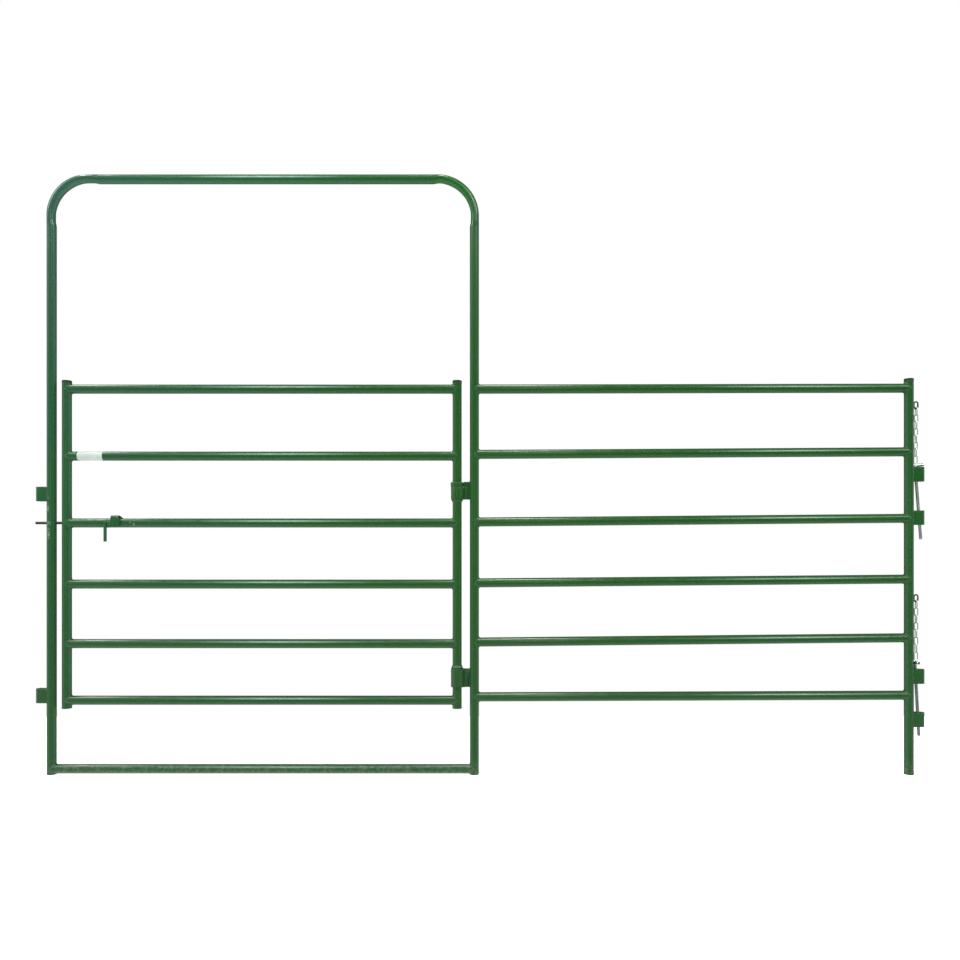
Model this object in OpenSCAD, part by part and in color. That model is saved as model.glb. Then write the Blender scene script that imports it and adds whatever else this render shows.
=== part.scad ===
// Livestock gate panel: a walk-through bow frame with a swinging tube gate in
// it, and a fixed tube panel welded to the bow's right leg.
// +Z is up, +X runs along the panel from the gate's side to the fixed side,
// and -Y faces the person who works the latch. The origin is the centre of the
// foot of the middle leg, at ground level.

/* [Tubes] */
// Outside diameter of every post, leg, stile and rail
tube_d = 38.1; // [34:0.1:42]
// Wall thickness of the tubes
tube_wall = 1.65; // [1.2:0.05:2.6]

/* [Bow frame] */
// Height of the bow, from the ground to the top of its cross tube
bow_h = 2501; // [2350:1:2650]
// Distance between the bow's legs, centre to centre
bow_span = 1764; // [1700:1:1900]
// Radius of the bow's two corner bends, on the tube's centre line
bend_r = 152; // [140:1:220]
// Height of the sill tube's centre line above the ground
sill_z = 23; // [20:1:60]

/* [Gate] */
// Distance from the bow's hinge leg to the gate's hinge stile, centre to centre
hinge_gap = 72; // [71:0.5:90]
// Distance from the bow's latch leg to the gate's latch stile, centre to centre
latch_gap = 63.5; // [60:0.5:80]
// Height of the top of the gate's stiles, under their caps
stile_top = 1634; // [1630:1:1660]
// Height of the bottom of the gate's stiles, over their end rings
stile_bottom = 279; // [260:1:284]
// Heights of the gate's rails, centre line, from the top rail down
gate_rail_z = [1606.5, 1327, 1048, 793, 544.5, 308.5];

/* [Fixed panel] */
// Distance from the bow's right leg to the end post, centre to centre
panel_span = 1813; // [1700:1:1950]
// Height of the end post's tube, under its cap
post_top = 1642; // [1636:1:1680]
// Height of the end caps' lips above their tubes
cap_h = 8; // [4:0.5:12]
// Heights of the panel's rails at the bow's leg, centre line, from the top down
panel_rail_z = [1606.5, 1334, 1052, 798, 551, 322.5];
// How much higher each of these rails is welded at the end post
panel_rail_rise = [4, 11, 15.5, 16, 18, 7]; // [0:0.5:20]

/* [Hinges] */
// Heights of the middle of the two hinge straps, upper and lower
strap_z = [1181, 402.5]; // [300:0.5:1500]
// Height of the hinge strap's web, which is welded to the leg
strap_h = 76.2; // [70:0.1:80]
// Thickness of the hinge strap's flat bar
strap_t = 6.4; // [4.5:0.1:7]
// Height of the thick collar that hangs the gate on the upper strap
collar_h = 20; // [12:0.5:24]
// How far the thick collar stands out from the stile
collar_t = 8.5; // [8:0.5:12]
// Running clearance between a stile and the strap wrapped round it
strap_clear = 0.5; // [0.3:0.05:0.6]

/* [Connector lugs] */
// Height of each U-shaped lug
lug_h = 60; // [50:1:62]
// Reach of a lug beyond the side of its post
lug_reach = 44.5; // [42:0.5:50]
// Outside width of a lug, across the panel
lug_w = 31; // [29:0.5:34]
// Thickness of the lug's flat bar
lug_t = 6; // [5:0.25:7]
// Heights of the middle of the two single lugs on the latch leg
single_lug_z = [1168.5, 328]; // [100:0.5:1600]
// Heights of the middle of the four lugs on the end post, in two pairs
pair_lug_z = [1251, 1070, 408.5, 228.5]; // [100:0.5:1600]

/* [Drop pins] */
// Diameter of the drop pins
pin_d = 12.7; // [11:0.1:13.5]
// Length of a pin, from its head's centre line to its tip
pin_l = 310; // [290:1:310]
// Length of the pin's bent head
pin_head = 37; // [30:1:40]
// Height of the centre line of each pin's head, upper and lower
pin_head_z = [1288, 467.8]; // [400:0.1:1400]
// Lean of each pin, in degrees from upright, upper and lower
pin_lean = [4.5, 3.0]; // [0:0.1:4.6]
// Direction that each pin's head points in, in degrees from +X, upper and lower
pin_turn = [0, -95]; // [-180:1:180]

/* [Chains] */
// Thickness of the chain's wire
wire_d = 4; // [3.5:0.1:4.2]
// Inside length of a chain link
link_in = 31; // [30:0.5:33]
// Outside width of a chain link
link_w = 18; // [17:0.5:19]
// Links in each chain
links = 8; // [8:2:8]
// Height of the bottom of the welded loop each chain hangs from
anchor_z = [1522.6, 717.4]; // [500:0.1:1600]

/* [Slide bolt] */
// Diameter of the bolt's rod
bolt_d = 11.1; // [10:0.1:12]
// Radius of the holes that the bolt runs in
bolt_hole_r = 6.5; // [6.3:0.05:8]
// How far the bolt's tip stands out past the latch leg's side when shot
bolt_past_leg = 47.5; // [40:0.5:55]
// How far the bolt slides
bolt_travel = 108; // [95:1:115]
// Distance from the latch leg's centre to the left side of the saddle
saddle_x = 255.5; // [220:0.5:300]
// Length of the saddle, along the rail
saddle_l = 39; // [30:0.5:48]
// Thickness of the saddle's bent flat bar
saddle_t = 5; // [4:0.5:5]
// Diameter of the handle's round bar
handle_d = 12.7; // [11:0.1:13]
// Length of the handle's hanging stem, below the rail's centre line
handle_drop = 78; // [60:1:95]

/* [Hidden] */
$fn = 48;
R = tube_d / 2;
Ri = R - tube_wall;
leg_x = -bow_span;                     // the latch leg
stile_x = [leg_x + latch_gap, -hinge_gap];
post_x = panel_span;
bolt_z = gate_rail_z[2];
foot_h = 15;                           // height of the end post's foot ring
green = "darkgreen";
zinc = "silver";

// ---- tubes -------------------------------------------------------------

// A solid bar along the bow's path: up the left leg, over and down the right
module bow_bar(r) {
  top = bow_h - R - bend_r;
  for (x = [leg_x, 0]) translate([x, 0, 0]) cylinder(r = r, h = top);
  translate([leg_x + bend_r, 0, top + bend_r]) rotate([0, 90, 0])
    cylinder(r = r, h = bow_span - 2 * bend_r);
  translate([leg_x + bend_r, 0, top]) rotate([90, 0, 0])
    rotate_extrude(angle = 90, start = 90) translate([bend_r, 0]) circle(r = r);
  translate([-bend_r, 0, top]) rotate([90, 0, 0])
    rotate_extrude(angle = 90, start = 0) translate([bend_r, 0]) circle(r = r);
}

// An upright tube between two heights
module upright(x, z0, z1) {
  translate([x, 0, z0]) difference() {
    cylinder(r = R, h = z1 - z0);
    translate([0, 0, -1]) cylinder(r = Ri, h = z1 - z0 + 2);
  }
}

// A tube between two uprights, from height z0 to height z1, with its ends coped
// to fit round them
module rail(x0, x1, z0, z1) {
  slope = atan2(z1 - z0, x1 - x0);
  // a sloped rail is cut this much short, so that its coped ends, which lean with
  // it, stay clear of the uprights
  ease = R * sin(slope);
  long = norm([x1 - x0, z1 - z0]) - 2 * ease;
  translate([x0, 0, z0]) rotate([0, -slope, 0]) translate([ease, 0, 0])
    difference() {
      rotate([0, 90, 0]) difference() {
        cylinder(r = R, h = long);
        translate([0, 0, -1]) cylinder(r = Ri, h = long + 2);
      }
      for (x = [0, long])
        translate([x, 0, -2 * R]) cylinder(r = R, h = 4 * R);
    }
}

module bow_tube() color(green) difference() {
  bow_bar(R);
  bow_bar(Ri);
  for (x = [leg_x, 0]) translate([x, 0, -1]) cylinder(r = Ri, h = 2);
  // the hole that the bolt shoots through
  translate([leg_x - 2 * R, 0, bolt_z]) rotate([0, 90, 0])
    cylinder(r = bolt_hole_r, h = 4 * R);
}

module sill_rail() color(green) rail(leg_x, 0, sill_z, sill_z);

module panel_rail(i) color(green)
  rail(0, post_x, panel_rail_z[i], panel_rail_z[i] + panel_rail_rise[i]);
module panel_rail_1() panel_rail(0);
module panel_rail_2() panel_rail(1);
module panel_rail_3() panel_rail(2);
module panel_rail_4() panel_rail(3);
module panel_rail_5() panel_rail(4);
module panel_rail_6() panel_rail(5);

module gate_rail(i) color(green)
  rail(stile_x[0], stile_x[1], gate_rail_z[i], gate_rail_z[i]);
module gate_rail_1() gate_rail(0);
module gate_rail_2() gate_rail(1);
// This rail carries the bolt inside it, and is slotted along its top
module gate_rail_3() difference() {
  gate_rail(2);
  translate([leg_x + saddle_x + 3, -4.5, bolt_z])
    cube([saddle_l - 6 + bolt_travel + 2, 9, 2 * R]);
}
module gate_rail_4() gate_rail(3);
module gate_rail_5() gate_rail(4);
module gate_rail_6() gate_rail(5);

module end_post() color(green) upright(post_x, foot_h, post_top);

module gate_latch_stile() color(green) difference() {
  upright(stile_x[0], stile_bottom, stile_top);
  translate([stile_x[0] - 2 * R, 0, bolt_z]) rotate([0, 90, 0])
    cylinder(r = bolt_hole_r, h = 4 * R);
}

module gate_hinge_stile() color(green) upright(stile_x[1], stile_bottom, stile_top);

// ---- end caps ----------------------------------------------------------

// A flat plug pushed into the top of a tube, its lip as wide as the tube
module cap(x, z) color([0.03, 0.06, 0.04]) translate([x, 0, z])
  rotate_extrude() polygon([
    [0, cap_h], [R - 1.6, cap_h], [R - 0.4, cap_h - 0.5],
    [R + 0.3, cap_h - 1.6], [R + 0.3, 0.9], [R - 0.6, 0], [Ri - 0.3, 0],
    [Ri - 0.3, -16], [Ri - 2.3, -16], [Ri - 2.3, cap_h - 2.5],
    [0, cap_h - 2.5]]);

// A ring round the bottom end of a tube
module end_ring(x, z, h, lip) color(green) translate([x, 0, z])
  rotate_extrude() polygon([
    [Ri - 1.2, 0], [R + lip - 0.6, 0], [R + lip, 0.6], [R + lip, h - 0.6],
    [R, h], [Ri - 1.2, h]]);

module end_post_cap() cap(post_x, post_top);
module latch_stile_cap() cap(stile_x[0], stile_top);
module hinge_stile_cap() cap(stile_x[1], stile_top);
module end_post_foot() end_ring(post_x, 0, foot_h, 0.8);
module latch_stile_foot() end_ring(stile_x[0], stile_bottom - 4, 4, 0.8);
module hinge_stile_foot() end_ring(stile_x[1], stile_bottom - 4, 4, 0.8);

// ---- hinges ------------------------------------------------------------

ri = R + strap_clear;
ro = ri + strap_t;

// A flat bar wrapped round the hinge stile between heights z0 and z1, with its
// ends pinched together in the gap and welded to the bow's leg as a web. The
// web is taller than the sleeve where a thick collar sits over the sleeve.
module hinge_strap(z0, z1, web_top) color(green) {
  translate([0, 0, z0]) linear_extrude(z1 - z0) difference() {
    union() {
      translate([stile_x[1], 0]) circle(r = ro);
      polygon([
        [stile_x[1] + ro * cos(48), ro * sin(48)],
        [-R - 21, strap_t + 1.6], [-R - 12, strap_t + 0.6],
        [-R + 4, strap_t + 4], [-R + 4, -strap_t - 4],
        [-R - 12, -strap_t - 0.6], [-R - 21, -strap_t - 1.6],
        [stile_x[1] + ro * cos(48), -ro * sin(48)]]);
    }
    translate([stile_x[1], 0]) circle(r = ri);
    circle(r = R);
  }
  if (web_top > z1) translate([0, 0, z1 - 1]) linear_extrude(web_top - z1 + 1)
    difference() {
      polygon([
        [stile_x[1] + R + collar_t + 1.6, strap_t + 1],
        [-R - 12, strap_t + 0.6], [-R + 4, strap_t + 4],
        [-R + 4, -strap_t - 4], [-R - 12, -strap_t - 0.6],
        [stile_x[1] + R + collar_t + 1.6, -strap_t - 1]]);
      circle(r = R);
    }
}

// A tapered weld bead round the hinge stile, widest next to the strap
module bead(z, h, up) translate([stile_x[1], 0, z])
  mirror([0, 0, up ? 0 : 1]) rotate_extrude() polygon([
    [R, 0], [R + 4.6, 0], [R + 4.9, h * 0.3], [R + 2.4, h * 0.75],
    [R + 0.6, h], [R, h]]);

module upper_hinge_strap() hinge_strap(strap_z[0] - strap_h / 2 + 3,
  strap_z[0] + strap_h / 2 - collar_h - 2, strap_z[0] + strap_h / 2);
module lower_hinge_strap() hinge_strap(strap_z[1] - strap_h / 2,
  strap_z[1] + strap_h / 2, 0);

// The gate hangs by the thick collar, and a bead under the strap keeps it down
module upper_hinge_collars() color(green) {
  translate([stile_x[1], 0, strap_z[0] + strap_h / 2 - collar_h - 1.2])
    rotate_extrude() polygon([
      [R, 0], [R + collar_t - 0.8, 0], [R + collar_t, 0.8],
      [R + collar_t - 0.6, collar_h - 3], [R + collar_t - 3, collar_h],
      [R, collar_h]]);
  bead(strap_z[0] - strap_h / 2 + 2.2, 10, false);
}
module lower_hinge_collar() color(green)
  bead(strap_z[1] + strap_h / 2 + 1.2, 13, true);

// ---- connector lugs ----------------------------------------------------

// A flat bar bent into a U and welded to the side of a post, with an upright
// eye that a pin drops through
module lug(x, z, side) {
  w = lug_w / 2;
  c = R + lug_reach - w;
  color(green) translate([x, 0, z - lug_h / 2]) mirror([side < 0 ? 1 : 0, 0, 0])
    linear_extrude(lug_h) difference() {
      union() {
        translate([0, -w]) square([c, lug_w]);
        translate([c, 0]) circle(r = w);
      }
      translate([0, -w + lug_t]) square([c, lug_w - 2 * lug_t]);
      translate([c, 0]) circle(r = w - lug_t);
      circle(r = R);
    }
}

module left_lug_upper() lug(leg_x, single_lug_z[0], -1);
module left_lug_lower() lug(leg_x, single_lug_z[1], -1);
module right_lug_1() lug(post_x, pair_lug_z[0], 1);
module right_lug_2() lug(post_x, pair_lug_z[1], 1);
module right_lug_3() lug(post_x, pair_lug_z[2], 1);
module right_lug_4() lug(post_x, pair_lug_z[3], 1);

// ---- chains and their welded loops -------------------------------------

// An oval link of round wire, standing in the XZ plane, centred on the origin
module oval(wire, width, inside) {
  rc = (width - wire) / 2;
  s = inside - 2 * (rc - wire / 2);
  for (m = [0, 1]) mirror([0, 0, m]) translate([0, 0, s / 2]) rotate([90, 0, 0])
    rotate_extrude(angle = 180) translate([rc, 0]) circle(d = wire);
  for (x = [-rc, rc]) translate([x, 0, -s / 2]) cylinder(d = wire, h = s);
}

anchor_wire = 6;
anchor_w = 22;
anchor_in = 22;
anchor_x = post_x + R - 0.5 + anchor_w / 2;
chain_x = anchor_x + 1.2;

module upper_chain_anchor() chain_anchor(0);
module lower_chain_anchor() chain_anchor(1);
module chain_anchor(i) color(green) difference() {
  translate([anchor_x, 0, anchor_z[i] + anchor_wire + anchor_in / 2])
    oval(anchor_wire, anchor_w, anchor_in);
  translate([post_x, 0, anchor_z[i] - 10]) cylinder(r = R, h = 60);
}

// The top of the first link is inside the loop, and the bottom of the last one
// is on the bend of the pin's head
module chain(i) {
  z_top = anchor_z[i] + anchor_wire + wire_d + 0.6;
  z_end = pin_head_z[i] + pin_d / 2 + 0.6;
  full = link_in + 2 * wire_d;
  pitch = (z_top - z_end - full) / (links - 1);
  color(zinc) for (k = [0:links - 1])
    translate([chain_x, 0, z_top - full / 2 - k * pitch])
      rotate([0, 0, k % 2 == 0 ? 90 : 0]) oval(wire_d, link_w, link_in);
}

module upper_chain() chain(0);
module lower_chain() chain(1);

// ---- drop pins ---------------------------------------------------------

pin_bend = 11;
pin_x = post_x + R + pin_d / 2 + 0.4;

// A round bar with its top bent over at a right angle and its tip bevelled
module drop_pin(i) {
  r = pin_d / 2;
  color(zinc) translate([pin_x, 0, pin_head_z[i]])
    rotate([0, -pin_lean[i], 0]) rotate([0, 0, pin_turn[i]]) {
      translate([0, 0, -pin_l + 4]) cylinder(r = r, h = pin_l - 4 - pin_bend);
      translate([0, 0, -pin_l]) cylinder(r1 = r - 2.2, r2 = r, h = 4);
      translate([pin_bend, 0, -pin_bend]) rotate([90, 0, 0])
        rotate_extrude(angle = 90, start = 90) translate([pin_bend, 0]) circle(r = r);
      translate([pin_bend, 0, 0]) rotate([0, 90, 0])
        cylinder(r = r, h = pin_head - pin_bend - 1.2);
      translate([pin_head - 1.2, 0, 0]) rotate([0, 90, 0])
        cylinder(r1 = r, r2 = r - 1.2, h = 1.2);
    }
}

module upper_pin() drop_pin(0);
module lower_pin() drop_pin(1);

// ---- slide bolt --------------------------------------------------------

module bolt_rod() color(green) {
  x0 = leg_x - R - bolt_past_leg;
  x1 = leg_x + saddle_x + saddle_l - 4;
  translate([x0 + 1.5, 0, bolt_z]) rotate([0, 90, 0])
    cylinder(d = bolt_d, h = x1 - x0 - 1.5);
  translate([x0, 0, bolt_z]) rotate([0, 90, 0])
    cylinder(d1 = bolt_d - 3, d2 = bolt_d, h = 1.5);
}

// Outline of the saddle's bent flat bar, seen along the rail, whose own centre
// is at the origin. It is one thickness in from the outside all the way round.
saddle_front = R + 7;
saddle_top = 31;
// How far its left and right sides lean in over the top 16
saddle_slope = [2.5, 8];
saddle_out = [
  [-saddle_front, -17], [-saddle_front, saddle_top - 6],
  [-saddle_front + 6, saddle_top], [-4, saddle_top], [28, 13.5], [28, 3]];
saddle_in = [
  [28 - saddle_t, 3], [28 - saddle_t, 10.5], [-5.2, saddle_top - saddle_t],
  [-saddle_front + 8.1, saddle_top - saddle_t],
  [-saddle_front + saddle_t, saddle_top - 8.1], [-saddle_front + saddle_t, -17]];

// A flat bar bent over the rail, its upper corners cut off, with a web down
// through the slot to the bolt
module latch_saddle() color(green)
  translate([leg_x + saddle_x, 0, bolt_z]) difference() {
    union() {
      rotate([90, 0, 90]) linear_extrude(saddle_l)
        polygon(concat(saddle_out, saddle_in));
      translate([6, -3, 0]) cube([saddle_l - 12, 6, saddle_top - saddle_t - 2]);
    }
    translate([-1, 0, 0]) rotate([0, 90, 0]) cylinder(d = bolt_d, h = saddle_l + 2);
    for (side = [0, 1]) translate([side * saddle_l, 0, 0]) mirror([side, 0, 0])
      rotate([90, 0, 0]) linear_extrude(80, center = true)
        polygon([[-1, saddle_top - 16], [0, saddle_top - 16],
          [saddle_slope[side], saddle_top], [saddle_slope[side], saddle_top + 1],
          [-1, saddle_top + 1]]);
  }

// The bar that the hand takes: welded to the saddle's left end, up over a tight
// bend and down
module latch_handle() color(green)
  translate([leg_x + saddle_x - handle_d / 2, -(saddle_front - saddle_t / 2 + 2),
             bolt_z]) {
    r = handle_d / 2;
    bend = 7;
    translate([0, 0, -20]) cylinder(r = r, h = 20);
    translate([-bend, 0, 0]) rotate([90, 0, 0])
      rotate_extrude(angle = 180) translate([bend, 0]) circle(r = r);
    translate([-2 * bend, 0, -handle_drop]) cylinder(r = r, h = handle_drop);
  }

// ---- the nodes ---------------------------------------------------------

bow_tube();
sill_rail();
panel_rail_1();
panel_rail_2();
panel_rail_3();
panel_rail_4();
panel_rail_5();
panel_rail_6();
end_post();
end_post_cap();
end_post_foot();
upper_hinge_strap();
lower_hinge_strap();
left_lug_upper();
left_lug_lower();
right_lug_1();
right_lug_2();
right_lug_3();
right_lug_4();
upper_chain_anchor();
lower_chain_anchor();
upper_chain();
lower_chain();
gate_latch_stile();
gate_hinge_stile();
gate_rail_1();
gate_rail_2();
gate_rail_3();
gate_rail_4();
gate_rail_5();
gate_rail_6();
latch_stile_cap();
hinge_stile_cap();
latch_stile_foot();
hinge_stile_foot();
upper_hinge_collars();
lower_hinge_collar();
bolt_rod();
latch_saddle();
latch_handle();
upper_pin();
lower_pin();
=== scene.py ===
import math
import random
from math import cos, sin, pi, radians, sqrt

import bmesh
import bpy
from mathutils import Matrix, Vector, noise


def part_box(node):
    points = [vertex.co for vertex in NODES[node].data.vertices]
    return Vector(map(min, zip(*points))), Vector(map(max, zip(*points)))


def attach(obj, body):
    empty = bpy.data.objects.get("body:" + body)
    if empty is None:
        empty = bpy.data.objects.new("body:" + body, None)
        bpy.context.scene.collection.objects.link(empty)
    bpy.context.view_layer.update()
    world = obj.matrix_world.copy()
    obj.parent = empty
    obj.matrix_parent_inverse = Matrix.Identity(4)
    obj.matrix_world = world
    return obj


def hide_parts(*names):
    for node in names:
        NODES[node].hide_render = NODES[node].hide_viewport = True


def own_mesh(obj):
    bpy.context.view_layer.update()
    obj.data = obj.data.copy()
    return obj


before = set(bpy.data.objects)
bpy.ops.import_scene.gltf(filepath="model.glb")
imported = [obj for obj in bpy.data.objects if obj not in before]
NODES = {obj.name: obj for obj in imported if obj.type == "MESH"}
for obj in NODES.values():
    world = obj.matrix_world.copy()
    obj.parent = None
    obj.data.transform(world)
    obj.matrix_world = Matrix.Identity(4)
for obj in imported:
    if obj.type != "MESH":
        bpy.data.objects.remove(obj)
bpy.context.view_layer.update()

MM = 0.001
scene = bpy.context.scene
rng = random.Random(7)

# ---------------------------------------------------------------- camera

cam_data = bpy.data.cameras.new("camera")
cam = bpy.data.objects.new("camera", cam_data)
scene.collection.objects.link(cam)
scene.camera = cam
cam_data.lens = 31.0
cam_data.sensor_width = 36.0
cam_data.shift_x = -25 / 960
cam_data.shift_y = 70.3 / 960
cam_data.clip_start = 0.05
cam_data.clip_end = 100
cam.location = (0.1277, -3.45, 0.934)
cam.rotation_euler = (radians(90), 0, 0)

# ---------------------------------------------------------------- positions


def span(node):
    lo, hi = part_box(node)
    return lo, hi, (lo + hi) / 2


_, _, post_c = span("end_post")
POST_X = post_c.x
R = (span("end_post")[1].x - span("end_post")[0].x) / 2
WALL = 1.65 * MM
bow_lo, bow_hi, _ = span("bow_tube")
LEG_X = bow_lo.x + R
BOW_H = bow_hi.z
BEND_R = 152 * MM
STILE_L = span("gate_latch_stile")[2].x
STILE_R = span("gate_hinge_stile")[2].x
BOLT_Z = span("bolt_rod")[2].z
SILL_Z = span("sill_rail")[2].z


def rail_ends(node):
    """Centre-line height of a rail at its lower end and at its higher end."""
    lo, hi, _ = span(node)
    return lo.z + R, hi.z - R


# ---------------------------------------------------------------- mesh helpers


class Shape:
    """Collects closed shells, then makes one object of them."""

    def __init__(self):
        self.v = []
        self.f = []

    def add(self, verts, faces):
        k = len(self.v)
        self.v += [tuple(p) for p in verts]
        self.f += [tuple(i + k for i in f) for f in faces]

    def tube(self, rings, closed=False, cap=True):
        """A shell through rings of points, all with the same count."""
        n = len(rings[0])
        m = len(rings)
        verts = [p for ring in rings for p in ring]
        faces = []
        for i in range(m if closed else m - 1):
            a, b = i * n, ((i + 1) % m) * n
            for j in range(n):
                k = (j + 1) % n
                faces.append((a + j, a + k, b + k, b + j))
        if not closed and cap:
            faces.append(tuple(reversed(range(n))))
            faces.append(tuple((m - 1) * n + j for j in range(n)))
        self.add(verts, faces)

    def make(self, name, body, mat, replaces=(), sharp=38):
        me = bpy.data.meshes.new(name)
        me.from_pydata(self.v, [], self.f)
        bm = bmesh.new()
        bm.from_mesh(me)
        bmesh.ops.recalc_face_normals(bm, faces=bm.faces)
        bm.to_mesh(me)
        bm.free()
        me.shade_smooth()
        me.set_sharp_from_angle(angle=radians(sharp))
        ob = bpy.data.objects.new(name, me)
        scene.collection.objects.link(ob)
        me.materials.append(mat)
        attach(ob, body)
        if replaces:
            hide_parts(*replaces)
        return ob


def tangents(path, closed=False):
    n = len(path)
    out = []
    for i in range(n):
        a = path[i - 1] if closed or i > 0 else path[0]
        b = path[(i + 1) % n] if closed or i < n - 1 else path[-1]
        out.append((b - a).normalized())
    return out


def rod(sh, path, radius, n=20, closed=False, ref=None, squeeze=1.0):
    """Round bar along a path. radius is one number or one for each point."""
    path = [Vector(p) for p in path]
    if not hasattr(radius, "__len__"):
        radius = [radius] * len(path)
    t = tangents(path, closed)
    ref = Vector(ref) if ref is not None else None
    u = None
    rings = []
    for i, p in enumerate(path):
        if ref is not None:
            side = t[i].cross(ref).normalized()
            u = side.cross(t[i]).normalized()
        else:
            if u is None:
                u = Vector((0, 1, 0)) if abs(t[i].y) < 0.9 else Vector((1, 0, 0))
            u = (u - t[i] * u.dot(t[i])).normalized()
            side = t[i].cross(u).normalized()
        rings.append([
            p + (u * cos(2 * pi * j / n) + side * sin(2 * pi * j / n) * squeeze) * radius[i]
            for j in range(n)
        ])
    sh.tube(rings, closed=closed)


def rounded_rect(w, t, r, seg=3):
    """Points of a w by t rectangle with rounded corners."""
    pts = []
    for cx, cy, a0 in ((1, 1, 0), (-1, 1, 90), (-1, -1, 180), (1, -1, 270)):
        for k in range(seg + 1):
            a = radians(a0 + 90 * k / seg)
            pts.append((cx * (w / 2 - r) + r * cos(a), cy * (t / 2 - r) + r * sin(a)))
    return pts


def flat_bar(sh, path, wide, w, t, r, ends=True, widths=None):
    """Flat bar with rounded edges along a path; its width w lies along wide."""
    path = [Vector(p) for p in path]
    wide = Vector(wide).normalized()
    tg = tangents(path)
    base = rounded_rect(1, 1, 0.5)
    rings = []

    def ring(p, tan, ww, tt, rr):
        nrm = tan.cross(wide).normalized()
        return [p + wide * a + nrm * b for a, b in rounded_rect(ww, tt, max(rr, 1e-5))]

    last = len(path) - 1
    for i, p in enumerate(path):
        ww = widths[i] if widths else w
        if i == 0 and ends:
            rings.append(ring(p, tg[i], ww - 2 * r, t - 2 * r, r * 0.3))
            rings.append(ring(p + tg[i] * r * 0.3, tg[i], ww - 0.6 * r, t - 0.6 * r, r * 0.8))
            rings.append(ring(p + tg[i] * r, tg[i], ww, t, r))
        elif i == last and ends:
            rings.append(ring(p - tg[i] * r, tg[i], ww, t, r))
            rings.append(ring(p - tg[i] * r * 0.3, tg[i], ww - 0.6 * r, t - 0.6 * r, r * 0.8))
            rings.append(ring(p, tg[i], ww - 2 * r, t - 2 * r, r * 0.3))
        else:
            rings.append(ring(p, tg[i], ww, t, r))
    sh.tube(rings)


def revolve(sh, centre, profile, n=72, wobble=None):
    """A closed ring: profile is a closed loop of (radius, z)."""
    centre = Vector(centre)
    rings = []
    for i in range(n):
        a = 2 * pi * i / n
        ring = []
        for k, (r, z) in enumerate(profile):
            if wobble:
                r, z = wobble(a, k, r, z)
            ring.append(centre + Vector((r * cos(a), r * sin(a), z)))
        rings.append(ring)
    sh.tube(rings, closed=True)


def wave(a):
    """A weld's ripple: a steep rise and a slow fall, from -1 to 1."""
    f = (a / (2 * pi)) % 1.0
    return cos(2 * pi * f) * 0.7 + cos(4 * pi * f + 0.9) * 0.3


def bead(sh, path, radius, closed=False, ref=None, period=3.2 * MM, n=10, depth=0.13, seed=0.0):
    """A rippled weld bead. The ends of an open bead are rounded off."""
    path = [Vector(p) for p in path]
    fine = []
    m = len(path)
    for i in range(m if closed else m - 1):
        a, b = path[i], path[(i + 1) % m]
        k = max(1, int(math.ceil((b - a).length / (period / 4))))
        fine += [a.lerp(b, j / k) for j in range(k)]
    if not closed:
        fine.append(path[-1])
    s, radii = 0.0, []
    total = sum((fine[i] - fine[i - 1]).length for i in range(1, len(fine)))
    if closed:
        total += (fine[0] - fine[-1]).length
        period = total / max(1, round(total / period))
    for i, p in enumerate(fine):
        if i:
            s += (p - fine[i - 1]).length
        slow = noise.noise(p * 90 + Vector((seed, 0, 0))) * 0.16
        r = radius * (1 + depth * wave(2 * pi * s / period) + slow)
        if not closed:
            e = min(s, total - s)
            if e < radius * 1.6:
                r *= max(0.25, sqrt(max(0.0, 1 - (1 - e / (radius * 1.6)) ** 2)))
        radii.append(r)
    rod(sh, fine, radii, n=n, closed=closed, ref=ref)


def cope_bead(sh, post_x, side, z, slope=0.0, r=3.3 * MM, seed=0.0):
    """Weld round a rail's coped end, where it meets an upright tube's surface."""
    pts = []
    n = 96
    for i in range(n):
        a = 2 * pi * i / n
        y = R * sin(a)
        x = side * sqrt(max(R * R - y * y, 0.0))
        zz = R * cos(a) + slope * x
        proud = 0.9 * MM
        sink = (r - proud) * sin(a) ** 4
        p = Vector((post_x + x, y, z + zz))
        out = Vector((side * 0.4 * cos(a) ** 2, sin(a), 0.4 * cos(a)))
        p -= out.normalized() * sink
        # the bead is a little uneven in height and place
        wob = noise.noise(Vector((seed * 3.1, cos(a) * 1.3, sin(a) * 1.3))) * 0.5 * MM
        p += out.normalized() * wob
        pts.append(p)
    bead(sh, pts, r, closed=True, seed=seed, depth=0.05)


# ---------------------------------------------------------------- materials


def nodes_of(mat):
    mat.use_nodes = True
    nt = mat.node_tree
    nt.nodes.clear()
    out = nt.nodes.new("ShaderNodeOutputMaterial")
    bsdf = nt.nodes.new("ShaderNodeBsdfPrincipled")
    nt.links.new(bsdf.outputs["BSDF"], out.inputs["Surface"])
    return nt, bsdf


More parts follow.
